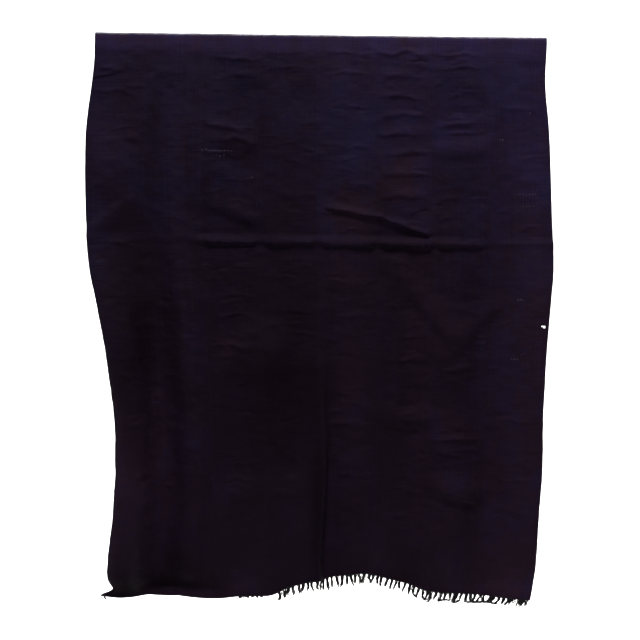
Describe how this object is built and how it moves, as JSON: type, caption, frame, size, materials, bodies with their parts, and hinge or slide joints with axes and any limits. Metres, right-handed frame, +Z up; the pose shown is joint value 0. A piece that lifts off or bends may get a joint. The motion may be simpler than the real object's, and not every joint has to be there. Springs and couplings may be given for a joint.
{
  "type": "mud cloth",
  "caption": "Strip-woven indigo mud cloth hung over a bar: long front drop with soft folds and a short fringe, short tail behind.",
  "frame": {"origin": "where the inside of the top fold bears on the bar, at the middle of the cloth's width", "axes": "+X to the right of someone facing the cloth, -Y out of the front of the cloth, +Z up"},
  "size_m": [1.042, 0.0947, 1.2638],
  "materials": {
    "indigo_cloth": "violet-black indigo cotton, hand-woven, beaten to a soft sheen",
    "fringe_yarn": "matt violet-black cotton yarn"
  },
  "bodies": {
    "root": {"panel_1": "indigo_cloth", "panel_2": "indigo_cloth", "panel_3": "indigo_cloth", "panel_4": "indigo_cloth", "panel_5": "indigo_cloth", "panel_6": "indigo_cloth", "panel_7": "indigo_cloth", "panel_8": "indigo_cloth", "fringe_3": "fringe_yarn", "fringe_4": "fringe_yarn", "fringe_5": "fringe_yarn", "fringe_6": "fringe_yarn", "fringe_7": "fringe_yarn", "fringe_8": "fringe_yarn"}
  },
  "joints": []
}
